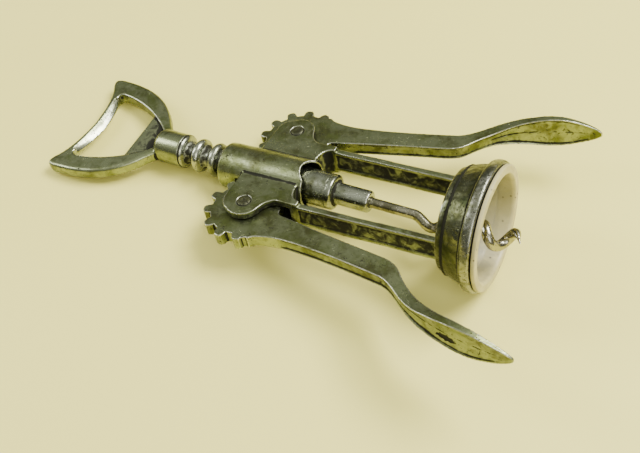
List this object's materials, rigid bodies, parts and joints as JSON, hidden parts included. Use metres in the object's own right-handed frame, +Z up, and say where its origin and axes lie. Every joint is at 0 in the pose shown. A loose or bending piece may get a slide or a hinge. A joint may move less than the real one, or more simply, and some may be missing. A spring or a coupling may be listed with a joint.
{
  "type": "lever corkscrew",
  "caption": "Lever corkscrew: a ringed rack with bottle-opener handle and wire worm slides through a pinned casting with geared side levers and a bell that seats on a bottle.",
  "frame": {"origin": "centre of the bounding box at the surface the corkscrew lies on", "axes": "+X from the opener handle to the bell, along the tool; +Z up, out of the table; +Y to the left lever"},
  "size_m": [0.163, 0.0868, 0.0379],
  "materials": {
    "plated_casting": "worn bright plating on die-cast zinc, tarnished grey-olive with dark pits and grime in the recesses",
    "plated_lever": "worn bright plating on die-cast zinc, tarnished flats with brighter rims",
    "plated_handle": "worn bright plating, polished on the end bar and grimy at the inner corners",
    "plated_rack": "worn bright plating on turned rings, dark grime in the grooves",
    "worm_steel": "bright plated steel wire, speckled with dark wear",
    "pin_steel": "dull grey peened steel pin heads",
    "white_nylon": "off-white moulded plastic, aged cream with dark specks"
  },
  "bodies": {
    "frame": {"body_casting": "plated_casting", "bell_bush": "white_nylon", "pivot_pin_left": "pin_steel", "pivot_pin_right": "pin_steel"},
    "lever_left": {"lever_left": "plated_lever"},
    "lever_right": {"lever_right": "plated_lever"},
    "rack": {"ring_rack": "plated_rack"},
    "screw": {"opener_handle": "plated_handle", "worm_ferrule": "plated_rack", "worm": "worm_steel"}
  },
  "joints": [
    {"name": "lever_left_hinge", "type": "hinge", "parent": "frame", "child": "lever_left", "pos_m": [-0.0063, 0.01329, 0.00804], "axis": [-0.1415, 0.0924, 0.9856], "range_deg": [-9, 114]},
    {"name": "lever_right_hinge", "type": "hinge", "parent": "frame", "child": "lever_right", "pos_m": [-0.00673, -0.01976, 0.01107], "axis": [0.1415, -0.0924, -0.9856], "range_deg": [-9, 114]},
    {"name": "rack_slide", "type": "slide", "parent": "frame", "child": "rack", "axis": [0.9959, 0, 0.0905], "range_m": [-0.00195, 0.0244]},
    {"name": "handle_spin", "type": "hinge", "parent": "rack", "child": "screw", "pos_m": [-0.00651, -0.00323, 0.00955], "axis": [0.9959, 0, 0.0905], "continuous": true}
  ],
  "couplings": [
    {"joint": "lever_right_hinge", "follows": "lever_left_hinge", "ratio": 1},
    {"joint": "rack_slide", "follows": "lever_left_hinge", "m_per_rad": 0.01225}
  ]
}
